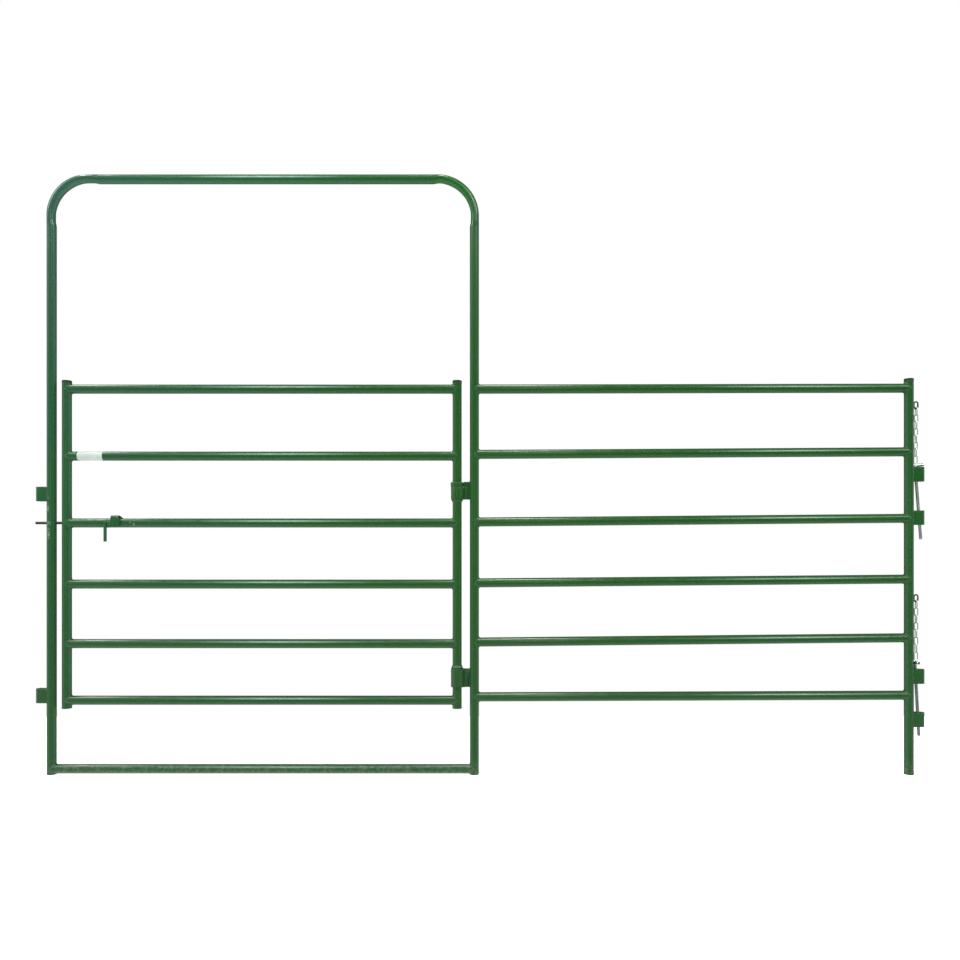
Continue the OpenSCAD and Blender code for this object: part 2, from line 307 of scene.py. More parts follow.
class Net:
    def __init__(self, nt):
        self.nt = nt
        self.coord = nt.nodes.new("ShaderNodeTexCoord").outputs["Object"]

    def link(self, a, b):
        self.nt.links.new(a, b)

    def noise(self, scale, detail=2.0, rough=0.5, stretch=None, offset=(0, 0, 0)):
        vec = self.coord
        if stretch or any(offset):
            m = self.nt.nodes.new("ShaderNodeMapping")
            m.inputs["Scale"].default_value = stretch or (1, 1, 1)
            m.inputs["Location"].default_value = offset
            self.link(vec, m.inputs["Vector"])
            vec = m.outputs["Vector"]
        t = self.nt.nodes.new("ShaderNodeTexNoise")
        t.inputs["Scale"].default_value = scale
        t.inputs["Detail"].default_value = detail
        t.inputs["Roughness"].default_value = rough
        self.link(vec, t.inputs["Vector"])
        return t.outputs["Fac"]

    def range(self, value, a, b, c=0.0, d=1.0, smooth=False):
        m = self.nt.nodes.new("ShaderNodeMapRange")
        m.interpolation_type = "SMOOTHSTEP" if smooth else "LINEAR"
        m.clamp = True
        self.link(value, m.inputs["Value"])
        for key, v in (("From Min", a), ("From Max", b), ("To Min", c), ("To Max", d)):
            m.inputs[key].default_value = v
        return m.outputs["Result"]

    def math(self, op, a, b=None, clamp=False):
        m = self.nt.nodes.new("ShaderNodeMath")
        m.operation = op
        m.use_clamp = clamp
        for k, v in enumerate((a, b)):
            if v is None:
                continue
            if isinstance(v, (int, float)):
                m.inputs[k].default_value = v
            else:
                self.link(v, m.inputs[k])
        return m.outputs[0]

    def mix(self, fac, a, b):
        m = self.nt.nodes.new("ShaderNodeMix")
        m.data_type = "RGBA"
        m.blend_type = "MIX"
        self.link(fac, m.inputs[0])
        for k, v in ((6, a), (7, b)):
            if isinstance(v, tuple):
                m.inputs[k].default_value = (*v, 1.0)
            else:
                self.link(v, m.inputs[k])
        return m.outputs[2]

    def spot(self, centre, half):
        """1 inside an ellipsoid, falling to 0 at its surface."""
        sub = self.nt.nodes.new("ShaderNodeVectorMath")
        sub.operation = "SUBTRACT"
        self.link(self.coord, sub.inputs[0])
        sub.inputs[1].default_value = centre
        div = self.nt.nodes.new("ShaderNodeVectorMath")
        div.operation = "DIVIDE"
        self.link(sub.outputs[0], div.inputs[0])
        div.inputs[1].default_value = half
        ln = self.nt.nodes.new("ShaderNodeVectorMath")
        ln.operation = "LENGTH"
        self.link(div.outputs[0], ln.inputs[0])
        return self.range(ln.outputs["Value"], 0.35, 1.0, 1.0, 0.0, smooth=True)

    def dist(self, point):
        """Distance from a point."""
        d = self.nt.nodes.new("ShaderNodeVectorMath")
        d.operation = "DISTANCE"
        self.link(self.coord, d.inputs[0])
        d.inputs[1].default_value = point
        return d.outputs["Value"]

    def axis(self, k):
        s = self.nt.nodes.new("ShaderNodeSeparateXYZ")
        self.link(self.coord, s.inputs[0])
        return s.outputs[k]

    def bump(self, height, strength, distance, before=None):
        b = self.nt.nodes.new("ShaderNodeBump")
        b.inputs["Strength"].default_value = strength
        b.inputs["Distance"].default_value = distance
        self.link(height, b.inputs["Height"])
        if before is not None:
            self.link(before, b.inputs["Normal"])
        return b.outputs["Normal"]


GREEN_DARK = (0.0095, 0.0650, 0.0112)
GREEN_MID = (0.0108, 0.0715, 0.0128)
GREEN_LIGHT = (0.0150, 0.0820, 0.0185)
RUB_AND_HIGHLIGHT_TONE = (0.3000, 0.4300, 0.3300)


def paint(name, rubs_and_highlights=(), light_and_shade_spots=(), rough=0.14, soil=True):
    """Gloss green baked paint: tone drifts, faint orange peel, rubbed places, painted highlights, and spots of painted
    light and painted shade.
    """
    mat = bpy.data.materials.new(name)
    nt, b = nodes_of(mat)
    n = Net(nt)
    drift = n.range(n.noise(1.7, 3.0, 0.55), 0.36, 0.64)
    fine = n.range(n.noise(55, 4.0, 0.6), 0.35, 0.68)
    col = n.mix(drift, GREEN_DARK, GREEN_MID)
    col = n.mix(n.math("MULTIPLY", fine, 0.30), col, GREEN_LIGHT)
    # thin rubbed flecks all over, sparse
    fleck = n.range(n.noise(420, 2.0, 0.6, offset=(3, 1, 2)), 0.735, 0.80)
    col = n.mix(n.math("MULTIPLY", fleck, 0.35), col, RUB_AND_HIGHLIGHT_TONE)
    wear_dirt_highlight = n.math("MULTIPLY", fleck, 0.25)
    speck = n.range(n.noise(230, 3.0, 0.7, offset=(9, 4, 5)), 0.46, 0.60)
    # each listed spot gets the whitish speckled tone: some are real rubbed places, others painted highlights, as their
    # lists say
    for centre, half, amount in rubs_and_highlights:
        m = n.math("MULTIPLY", n.spot(centre, half), speck)
        m = n.math("MULTIPLY", m, amount, clamp=True)
        col = n.mix(m, col, RUB_AND_HIGHLIGHT_TONE)
        wear_dirt_highlight = n.math("MAXIMUM", wear_dirt_highlight, m)
    # spots of painted light and painted shade, each mixed toward its own tone
    for centre, half, amount, tone in light_and_shade_spots:
        m = n.math("MULTIPLY", n.spot(centre, half), amount)
        col = n.mix(m, col, tone)
    # painted light: the colour turns lighter and bluer towards the upper left corner of the bow, where bluish light
    # falls
    far = n.dist((LEG_X - 0.10, 0.0, BOW_H + 0.10))
    blue_light_share = n.math("POWER", 2.718, n.math("MULTIPLY", far, -1.11))
    col = n.mix(n.math("MULTIPLY", blue_light_share, 0.072, clamp=True), col, (0.27, 0.50, 0.85))
    # a little yellower round the upper hinge
    warm = n.spot((-0.05, 0.0, 1.25), (1.35, 1.0, 1.35))
    col = n.mix(n.math("MULTIPLY", warm, 0.5), col, (0.0106, 0.0705, 0.0060))
    # painted shade with a painted grey reflection veil: greyer and less green towards the ground
    ground_shade_veil = n.range(n.axis(2), 0.25, 1.15, 1.0, 0.0, smooth=True)
    col = n.mix(n.math("MULTIPLY", ground_shade_veil, 0.26), col, (0.0260, 0.0250, 0.0260))
    if soil:
        low = n.range(n.axis(2), 0.0, 0.085, 1.0, 0.0, smooth=True)
        dirt = n.math("MULTIPLY", low, n.range(n.noise(75, 4.0, 0.65), 0.40, 0.66))
        col = n.mix(n.math("MULTIPLY", dirt, 0.45), col, (0.115, 0.120, 0.085))
        wear_dirt_highlight = n.math("MAXIMUM", wear_dirt_highlight, n.math("MULTIPLY", dirt, 0.8))
    nt.links.new(col, b.inputs["Base Color"])
    r0 = n.range(n.noise(24, 3.0, 0.6, offset=(5, 5, 5)), 0.32, 0.68, rough - 0.035, rough + 0.055)
    r1 = n.math("ADD", r0, n.math("MULTIPLY", wear_dirt_highlight, 0.32), clamp=True)
    nt.links.new(r1, b.inputs["Roughness"])
    b.inputs["IOR"].default_value = 1.5
    peel = n.bump(n.noise(300, 2.0, 0.5), 0.012, 0.0006)
    sag = n.bump(n.noise(7, 2.0, 0.5), 0.07, 0.0016, peel)
    nt.links.new(sag, b.inputs["Normal"])
    return mat


def zinc(name, base=(0.62, 0.63, 0.65), rough=0.30, streak=None, grit=0.25):
    """Bright zinc plate with spangle, dull patches and fine draw lines."""
    mat = bpy.data.materials.new(name)
    nt, b = nodes_of(mat)
    n = Net(nt)
    patch = n.range(n.noise(70, 4.0, 0.6), 0.34, 0.68)
    grain = n.noise(260, 3.0, 0.6, stretch=streak or (1, 1, 1))
    dark = tuple(v * 0.78 for v in base)
    col = n.mix(n.math("MULTIPLY", patch, 0.75), base, dark)
    col = n.mix(n.range(grain, 0.56, 0.72, 0.0, 0.55), col, (0.86, 0.87, 0.88))
    nt.links.new(col, b.inputs["Base Color"])
    b.inputs["Metallic"].default_value = 1.0
    nt.links.new(n.range(grain, 0.3, 0.7, rough - 0.08, rough + 0.16), b.inputs["Roughness"])
    nt.links.new(n.bump(grain, grit, 0.0003), b.inputs["Normal"])
    return mat


def satin(name, a, b_, rough, scale=120, depth=0.0004, shine=0.5):
    mat = bpy.data.materials.new(name)
    nt, b = nodes_of(mat)
    n = Net(nt)
    col = n.mix(n.range(n.noise(scale, 4.0, 0.6), 0.35, 0.66), a, b_)
    nt.links.new(col, b.inputs["Base Color"])
    nt.links.new(n.range(n.noise(scale * 0.4, 3.0), 0.3, 0.7, rough - 0.07, rough + 0.09), b.inputs["Roughness"])
    nt.links.new(n.bump(n.noise(scale * 4, 3.0, 0.6), 0.25, depth), b.inputs["Normal"])
    b.inputs["Specular IOR Level"].default_value = shine
    return mat


def at(x, y, z):
    return (x * MM, y * MM, z * MM)


M_PAINT = paint("green_enamel")
M_RAIL3 = paint("green_enamel_rubbed_painted_highlight", rubs_and_highlights=[
    (at(-1414, -17, 1042), at(6, 14, 10), 0.85),
    (at(-1428, -16, 1050), at(7, 12, 5), 0.6),
    # painted highlight: a long faint whitish streak along the rail's top near the latch stile
    (at(-1600, -8, 1063), at(70, 14, 7), 0.3),
])
lx = LEG_X / MM
M_BOW = paint("green_enamel_bow", rough=0.12, rubs_and_highlights=[
    # painted highlights: whitish speckled streaks down the front of the left leg, near the bolt hole
    (at(lx - 9, -15, 1152), at(10, 14, 8), 0.7),
    (at(lx - 6, -16, 1106), at(10, 14, 20), 0.7),
    (at(lx - 4, -16, 1006), at(9, 14, 34), 0.7),
    (at(lx - 2, -16, 1047), at(12, 14, 12), 0.5),
    # painted highlights: whitish speckled streaks along the tops and outer edges of the two bends
    (at(-1655, -6, 2494), at(42, 16, 10), 0.9),
    (at(-106, -12, 2487), at(34, 12, 7), 0.8),
    (at(-20, -14, 2424), at(11, 12, 18), 0.8),
    (at(17, -10, 2353), at(6, 12, 18), 0.7),
], light_and_shade_spots=[
    # painted light: a brighter green along the top of the bow, a bluish lighter left bend, and a brighter, more
    # saturated green round the right bend and down the upper middle leg
    (at(-760, 0, 2480), at(1500, 60, 160), 0.60, (0.0105, 0.1110, 0.0145)),
    (at(lx + 45, 0, 2437), at(150, 60, 150), 0.40, (0.026, 0.105, 0.045)),
    (at(-45, 0, 2437), at(190, 60, 190), 0.80, (0.0085, 0.1200, 0.0095)),
    (at(0, 0, 2080), at(60, 60, 520), 0.50, (0.0060, 0.0860, 0.0075)),
])
M_WELD = paint("green_enamel_weld", rough=0.18)
# painted shade darkens the straps' two valleys
M_STRAP = paint("green_enamel_strap", rough=0.16, light_and_shade_spots=[
    (at(gx, -6, gz), at(7.5, 40, 80), 1.0, (0.0020, 0.0160, 0.0035))
    for gx in (-44.0, -23.5) for gz in (402, 1181)])
M_CAP = satin("dark_plug", (0.007, 0.020, 0.010), (0.011, 0.031, 0.016), 0.40, shine=0.3)
M_ZINC_PIN = zinc("zinc_pin", base=(0.74, 0.75, 0.76), rough=0.17, streak=(1, 1, 0.12), grit=0.06)
M_ZINC_CHAIN = zinc("zinc_chain", base=(0.86, 0.87, 0.90), rough=0.20, grit=0.12)
M_LOOP = satin("dark_enamel", (0.004, 0.011, 0.005), (0.008, 0.022, 0.010), 0.46, shine=0.2)
# the bolt rod is a near-black green, much darker than the frame
M_ROD = satin("rod_near_black_green", (0.005, 0.017, 0.009), (0.009, 0.028, 0.014), 0.30, shine=0.4)
M_LABEL = satin("bare_label", (0.50, 0.55, 0.525), (0.46, 0.51, 0.485), 0.34, scale=26, depth=0.0003)

# ---------------------------------------------------------------- CAD nodes that stay

for name, ob in NODES.items():
    mat = M_PAINT
    if name.endswith("_cap"):
        mat = M_CAP
    elif name in ("upper_pin", "lower_pin"):
        mat = M_ZINC_PIN
    elif name == "gate_rail_3":
        mat = M_RAIL3
    elif name.endswith("_anchor"):
        mat = M_LOOP
    elif name == "bolt_rod":
        mat = M_ROD
    ob.data.materials.clear()
    ob.data.materials.append(mat)

# ---------------------------------------------------------------- bow tube


def step(t):
    t = min(1.0, max(0.0, t))
    return t * t * (3 - 2 * t)


top = BOW_H - R - BEND_R
arc = BEND_R * pi / 2
across = -LEG_X - 2 * BEND_R
lengths = [top, arc, across, arc, top]
marks = [0.0]
for length in lengths:
    marks.append(marks[-1] + length)


def bow_at(s):
    """Centre, outward direction and tangent at distance s along the bow."""
    if s <= marks[1]:
        return Vector((LEG_X, 0, s)), Vector((-1, 0, 0))
    if s <= marks[2]:
        a = (s - marks[1]) / BEND_R
        o = Vector((-cos(a), 0, sin(a)))
        return Vector((LEG_X + BEND_R, 0, top)) + o * BEND_R, o
    if s <= marks[3]:
        return Vector((LEG_X + BEND_R + s - marks[2], 0, BOW_H - R)), Vector((0, 0, 1))
    if s <= marks[4]:
        a = (s - marks[3]) / BEND_R
        o = Vector((sin(a), 0, cos(a)))
        return Vector((-BEND_R, 0, top)) + o * BEND_R, o
    return Vector((0, 0, marks[5] - s)), Vector((1, 0, 0))


def flatten(s):
    worst = 0.0
    for a, b in ((marks[1], marks[2]), (marks[3], marks[4])):
        before, after = (46 * MM, 50 * MM) if a == marks[1] else (22 * MM, 50 * MM)
        win = step((s - a + before) / (26 * MM)) * step((b - s + after) / (26 * MM))
        near = max(math.exp(-max(s - a - 21 * MM, 0) / (45 * MM)),
                   math.exp(-max(b - s - 21 * MM, 0) / (45 * MM)))
        worst = max(worst, win * (0.38 + 0.62 * near))
    return worst


stations = set()
for a, b, n in ((0, marks[1] - 56 * MM, 12), (marks[2] + 56 * MM, marks[3] - 30 * MM, 9),
                (marks[4] + 56 * MM, marks[5], 12)):
    stations |= {a + (b - a) * k / n for k in range(n + 1)}
for a, b in ((marks[1] - 56 * MM, marks[2] + 56 * MM), (marks[3] - 30 * MM, marks[4] + 56 * MM)):
    stations |= {a + (b - a) * k / 110 for k in range(111)}
stations = sorted(s for s in stations if not (abs(s - BOLT_Z) < 20 * MM))
NSEG = 72
outer, inner = [], []
for s in stations:
    c, o = bow_at(s)
    f = flatten(s)
    a, b = R * (1 - 0.105 * f), R * (1 + 0.03 * f)
    c = c + o * (R - a)
    y = Vector((0, 1, 0))
    outer.append([c + o * (a * cos(2 * pi * j / NSEG)) + y * (b * sin(2 * pi * j / NSEG)) for j in range(NSEG)])
    a, b = a - WALL, b - WALL
    inner.append([c + o * (a * cos(2 * pi * j / NSEG)) + y * (b * sin(2 * pi * j / NSEG)) for j in range(NSEG)])
# the outer and inner walls close into one shell; the cut ends are flat
bow = Shape()
bow.tube(outer + inner[::-1], closed=True)
bow_ob = bow.make("bow_tube_formed", "frame", M_BOW, replaces=["bow_tube"])
drill = Shape()
rod(drill, [(LEG_X - 40 * MM, 0, BOLT_Z), (LEG_X + 40 * MM, 0, BOLT_Z)], 6.5 * MM, n=40)
drill_ob = drill.make("drill", "frame", M_BOW)
mod = bow_ob.modifiers.new("hole", "BOOLEAN")
mod.operation = "DIFFERENCE"
mod.object = drill_ob
mod.solver = "EXACT"
bpy.context.view_layer.update()
cut = bpy.data.meshes.new_from_object(bow_ob.evaluated_get(bpy.context.evaluated_depsgraph_get()))
bow_ob.modifiers.clear()
bow_ob.data = cut
cut.name = "bow_tube_formed"
cut.shade_smooth()
cut.set_sharp_from_angle(angle=radians(38))
bpy.data.objects.remove(drill_ob)

# ---------------------------------------------------------------- welds at the rails

for i in range(1, 7):
    z0, z1 = rail_ends(f"panel_rail_{i}")
    slope = (z1 - z0) / POST_X
    sh = Shape()
    cope_bead(sh, 0.0, 1, z0, slope, seed=i)
    cope_bead(sh, POST_X, -1, z1, slope, seed=i + 20)
    sh.make(f"panel_rail_{i}_welds", "frame", M_WELD, sharp=180)
    z = span(f"gate_rail_{i}")[2].z
    sh = Shape()
    cope_bead(sh, STILE_L, 1, z, seed=i + 40)
    cope_bead(sh, STILE_R, -1, z, seed=i + 60)
    sh.make(f"gate_rail_{i}_welds", "gate", M_WELD, sharp=180)
sh = Shape()
cope_bead(sh, LEG_X, 1, SILL_Z, seed=80, r=3.0 * MM)
cope_bead(sh, 0.0, -1, SILL_Z, seed=81, r=3.0 * MM)
sh.make("sill_rail_welds", "frame", M_WELD, sharp=180)

# ---------------------------------------------------------------- rims under the caps

for node, body in (("end_post", "frame"), ("gate_latch_stile", "gate"), ("gate_hinge_stile", "gate")):
    lo, hi, c = span(node)
    sh = Shape()
    revolve(sh, (c.x, 0, hi.z), [
        (R - 0.8 * MM, -0.15 * MM), (R + 0.2 * MM, -0.15 * MM), (R + 0.7 * MM, -0.6 * MM), (R + 0.9 * MM, -1.4 * MM),
        (R + 0.7 * MM, -2.3 * MM), (R + 0.1 * MM, -3.0 * MM), (R - 0.8 * MM, -3.1 * MM)], n=96)
    sh.make(node + "_rim", body, M_PAINT, sharp=180)

# ---------------------------------------------------------------- connector lugs

LUG_W, LUG_T, REACH = 31 * MM, 6 * MM, 44.5 * MM


def lug(name, node, x, side):
    lo, hi, c = span(node)
    z, h = c.z, hi.z - lo.z
    w = LUG_W / 2 - LUG_T / 2
    cx = R + REACH - LUG_W / 2
    start = sqrt(R * R - w * w) - 1.5 * MM
    pts = [(start, -w), (start + 6 * MM, -w), (cx - 4 * MM, -w)]
    for k in range(25):
        a = -pi / 2 + pi * k / 24
        pts.append((cx + w * cos(a), w * sin(a)))
    pts += [(cx - 4 * MM, w), (start + 6 * MM, w), (start, w)]
    sh = Shape()
    flat_bar(sh, [(x + side * px, py, z) for px, py in pts], (0, 0, 1), h, LUG_T, 1.1 * MM, ends=False)
    sh.make(name, "frame", M_PAINT, replaces=[node])
    sh = Shape()
    edge = LUG_W / 2
    bx = sqrt(R * R - edge * edge)
    for k, sy in enumerate((-1, 1)):
        bead(sh, [(x + side * (bx + 0.6 * MM), sy * (edge - 0.3 * MM), z - h / 2 + 2 * MM),
                  (x + side * (bx + 0.6 * MM), sy * (edge - 0.3 * MM), z + h / 2 - 2 * MM)],
             3.1 * MM, seed=z * 50 + k, period=3.6 * MM)
    sh.make(name + "_welds", "frame", M_WELD, sharp=180)


lug("left_lug_upper_bar", "left_lug_upper", LEG_X, -1)
lug("left_lug_lower_bar", "left_lug_lower", LEG_X, -1)
for i in range(1, 5):
    lug(f"right_lug_{i}_bar", f"right_lug_{i}", POST_X, 1)

# ---------------------------------------------------------------- hinge straps

ST, CLEAR = 6.4 * MM, 0.5 * MM
RM = R + CLEAR + ST / 2


def sleeve_path(z, squeeze=3.8 * MM):
    """Flat bar's centre line: from the leg, round the stile and back."""
    pts = [(-R + 3.0 * MM, -squeeze)]
    pts += [(-R - 12 * MM, -squeeze), (-R - 17 * MM, -squeeze - 0.9 * MM)]
    a0 = radians(33)
    n = 44
    for k in range(n + 1):
        a = -a0 - (2 * pi - 2 * a0) * k / n
        pts.append((STILE_R + RM * cos(a), RM * sin(a)))
    pts += [(-R - 17 * MM, squeeze + 0.9 * MM), (-R - 12 * MM, squeeze), (-R + 3.0 * MM, squeeze)]
    return [Vector((px, py, z)) for px, py in pts]


def smooth_path(pts, rounds=2):
    for _ in range(rounds):
        out = [pts[0]]
        for a, b in zip(pts, pts[1:]):
            out += [a.lerp(b, 0.25), a.lerp(b, 0.75)]
        out.append(pts[-1])
        pts = out
    return pts


def strap(name, node, z0, z1, web_top, body="frame"):
    sh = Shape()
    flat_bar(sh, smooth_path(sleeve_path((z0 + z1) / 2), 1), (0, 0, 1), z1 - z0, ST, 1.0 * MM, ends=False)
    if web_top > z1:
        for sy in (-1, 1):
            x0 = WEB_X0
            zc, h = (z0 + web_top) / 2, web_top - z0
            flat_bar(sh, [(x0, sy * 3.9 * MM, zc), (x0 + 4 * MM, sy * 4.0 * MM, zc),
                          (-R + 3 * MM, sy * 4.0 * MM, zc)],
                     (0, 0, 1), h, ST, 0.6 * MM, ends=False)
    sh.make(name, body, M_STRAP, replaces=[node])
    sh = Shape()
    hi = max(z1, web_top)
    ye = 7.0 * MM
    xe = -sqrt(R * R - ye * ye)
    for k, sy in enumerate((-1, 1)):
        bead(sh, [(xe - 0.8 * MM, sy * (ye + 0.5 * MM), z0 + 1.5 * MM),
                  (xe - 0.8 * MM, sy * (ye + 0.5 * MM), hi - 1.5 * MM)],
             2.3 * MM, seed=z0 * 70 + k, period=4.2 * MM, depth=0.10)
    bead(sh, [(xe - 0.6 * MM, -ye, hi - 0.2 * MM), (-R - 0.6 * MM, 0, hi + 0.2 * MM), (xe - 0.6 * MM, ye, hi - 0.2 * MM)],
         1.9 * MM, seed=z0 * 71)
    sh.make(name + "_welds", body, M_WELD, sharp=180)


lo, hi, _ = span("upper_hinge_strap")
collar_lo, collar_hi, _ = span("upper_hinge_collars")
CT = collar_hi.x - STILE_R - R          # how far the thick collar stands out
WEB_X0 = STILE_R + R + CT - 0.15 * MM
strap("upper_hinge_strap_bar", "upper_hinge_strap", lo.z, hi.z - 22 * MM, hi.z)
lo_l, hi_l, _ = span("lower_hinge_strap")
strap("lower_hinge_strap_bar", "lower_hinge_strap", lo_l.z, hi_l.z, 0)


def ring_wobble(seed, amount, period_count):
    def f(a, k, r, z):
        if r <= R + 0.2 * MM:
            return r, z
        w = wave(a * period_count) * amount + noise.noise(Vector((cos(a) * 2, sin(a) * 2, seed))) * amount * 1.4
        return r + w, z + w * 0.3
    return f


ch = 20 * MM
sh = Shape()
zc = collar_hi.z - ch
revolve(sh, (STILE_R, 0, zc), [
    (R - 0.8 * MM, -1.6 * MM), (R + 6.8 * MM, -1.6 * MM), (R + 7.1 * MM, -1.3 * MM), (R + 7.3 * MM, 0.2 * MM),
    (R + 7.6 * MM, 3.5 * MM), (R + 8.0 * MM, 8.0 * MM), (R + 8.2 * MM, 12.5 * MM), (R + 8.2 * MM, ch - 3.0 * MM),
    (R + 7.7 * MM, ch - 1.4 * MM), (R + 6.4 * MM, ch - 0.4 * MM), (R + 4.6 * MM, ch), (R + 1.0 * MM, ch), (R - 0.8 * MM, ch)], n=96)
zb = collar_lo.z + 10 * MM
revolve(sh, (STILE_R, 0, zb), [
    (R - 0.8 * MM, 0), (R + 4.0 * MM, 0), (R + 4.5 * MM, -0.6 * MM), (R + 4.5 * MM, -3 * MM), (R + 3.4 * MM, -5.4 * MM),
    (R + 2.0 * MM, -7.5 * MM), (R + 0.6 * MM, -9.6 * MM), (R - 0.8 * MM, -9.8 * MM)], n=200,
    wobble=ring_wobble(3, 0.35 * MM, 34))
sh.make("upper_hinge_collar_rings", "gate", M_WELD, replaces=["upper_hinge_collars"], sharp=60)
lo, hi, _ = span("lower_hinge_collar")
sh = Shape()
h = hi.z - lo.z
revolve(sh, (STILE_R, 0, lo.z), [
    (R - 0.8 * MM, 0), (R + 3.9 * MM, 0), (R + 4.4 * MM, 0.6 * MM), (R + 4.4 * MM, h * 0.3), (R + 3.4 * MM, h * 0.55),
    (R + 2.0 * MM, h * 0.75), (R + 0.6 * MM, h * 0.97), (R - 0.8 * MM, h)], n=200,
    wobble=ring_wobble(8, 0.35 * MM, 32))
sh.make("lower_hinge_collar_ring", "gate", M_WELD, replaces=["lower_hinge_collar"], sharp=60)

# ---------------------------------------------------------------- latch saddle

lo, hi, c = span("latch_saddle")
SL = hi.x - lo.x
yf, zt, zb_, yb = lo.y, hi.z, lo.z, hi.y
t = 5 * MM
h_ = t / 2


def corner(p, a, b, r, n=5):
    """Points rounding the corner p between directions to a and b."""
    p, a, b = Vector(p), Vector(a), Vector(b)
    u, v = (a - p).normalized(), (b - p).normalized()
    return [((p + u * r) * (1 - k / n) ** 2 + p * 2 * (k / n) * (1 - k / n) + (p + v * r) * (k / n) ** 2)
            for k in range(n + 1)]


A0 = (c.x, yf + h_, zb_)
A1 = (c.x, yf + h_, zt - h_)
A2 = (c.x, -4.6 * MM, zt - h_)
A3 = (c.x, yb - h_, BOLT_Z + 12.0 * MM)
A4 = (c.x, yb - h_, BOLT_Z + 3 * MM)
path = [Vector(A0).lerp(Vector(A1), k / 10) for k in range(9)]
path += corner(A1, A0, A2, 6 * MM)
path += corner(A2, A1, A3, 5 * MM)
path += [Vector(A2).lerp(Vector(A3), k / 8) for k in range(2, 7)]
path += corner(A3, A2, A4, 4 * MM)
path.append(Vector(A4))
widths = []
for p in path:
    lean_in = min(1.0, max(0.0, (p.z + h_ * 0.6 - (zt - 16 * MM)) / (16 * MM)))
    left, right = 2.5 * MM * lean_in, 8 * MM * lean_in
    p.x = c.x + (left - right) / 2
    widths.append(SL - left - right)
sh = Shape()
flat_bar(sh, path, (1, 0, 0), SL, t, 1.4 * MM, widths=widths)
flat_bar(sh, [(c.x, 0, BOLT_Z - 1 * MM), (c.x, 0, BOLT_Z + 14 * MM), (c.x, 0, zt - 3 * MM)], (1, 0, 0), SL - 12 * MM, 6 * MM, 0.8 * MM, ends=False)
sh.make("latch_saddle_bar", "latch_bolt", M_PAINT, replaces=["latch_saddle"], sharp=40)
sh = Shape()
hl, hh, hc = span("latch_handle")
bead(sh, [(lo.x - 0.2 * MM, yf + 0.4 * MM, BOLT_Z - 17 * MM), (lo.x - 0.2 * MM, yf + 0.4 * MM, BOLT_Z + 3 * MM)], 2.7 * MM, seed=1.5)
bead(sh, [(lo.x + 12 * MM, -3.2 * MM, zt - 4.6 * MM), (hi.x - 14 * MM, -3.2 * MM, zt - 4.6 * MM)], 1.8 * MM, seed=2.5)
sh.make("latch_saddle_welds", "latch_bolt", M_WELD, sharp=180)

# ---------------------------------------------------------------- chains

WIRE, LINK_IN, LINK_W = 4 * MM, 31 * MM, 18 * MM


def link_path():
    rc = (LINK_W - WIRE) / 2
    s = LINK_IN - 2 * (rc - WIRE / 2)
    pts = []
    for k in range(15):
        a = pi * k / 14
        pts.append(Vector((rc * cos(a), 0, s / 2 + rc * sin(a))))
    for k in range(1, 8):
        pts.append(Vector((-rc, 0, s / 2 - s * k / 8)))
    for k in range(15):
        a = pi + pi * k / 14
        pts.append(Vector((rc * cos(a), 0, -s / 2 + rc * sin(a))))
    for k in range(1, 8):
        pts.append(Vector((rc, 0, -s / 2 + s * k / 8)))
    return pts


def chain(name, node, lean, seed):
    lo, hi, c = span(node)
    full = LINK_IN + 2 * WIRE
    n = 8
    pitch = (hi.z - lo.z - full) / (n - 1)
    sh = Shape()
    r = random.Random(seed)
    base = link_path()
    for k in range(n):
        share = k / (n - 1)
        # middle links swing off the line a little; the two end links don't
        loose = sin(pi * share)
        place = Vector((c.x - lean * share, r.uniform(-0.8, 0.8) * MM * loose, hi.z - full / 2 - k * pitch))
        turn = (90 if k % 2 == 0 else 0) + r.uniform(-6, 6) * loose
        m = (Matrix.Translation(place)
             @ Matrix.Rotation(radians(r.uniform(-2, 2) * loose), 4, "Y")
             @ Matrix.Rotation(radians(turn), 4, "Z"))
        pts = [m @ p for p in base]
        # the butt weld in the middle of one side is a little thicker
        radii = []
        for q in base:
            d = abs(q.z) / (3.2 * MM) if q.x < 0 else 9
            radii.append(WIRE / 2 * (1 + 0.16 * max(0.0, 1 - d)))
        rod(sh, pts, radii, n=14, closed=True, ref=m.to_3x3() @ Vector((0, 1, 0)))
    ob = sh.make(name, "frame", M_ZINC_CHAIN, replaces=[node], sharp=180)
    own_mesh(ob)
    return ob


chain("upper_chain_links", "upper_chain", 3.0 * MM, 4)
chain("lower_chain_links", "lower_chain", 1.6 * MM, 9)

for which in ("upper", "lower"):
    lo, hi, c = span(f"{which}_chain_anchor")
    sh = Shape()
    x = POST_X + R + 0.9 * MM
    for k, sy in enumerate((-1, 1)):
        bead(sh, [(x, sy * 2.6 * MM, c.z - 8 * MM), (x, sy * 2.6 * MM, c.z + 8 * MM)], 2.4 * MM, seed=k + hi.z)
    sh.make(f"{which}_chain_anchor_welds", "frame", M_WELD, sharp=180)

# ---------------------------------------------------------------- bare label on the gate's second rail

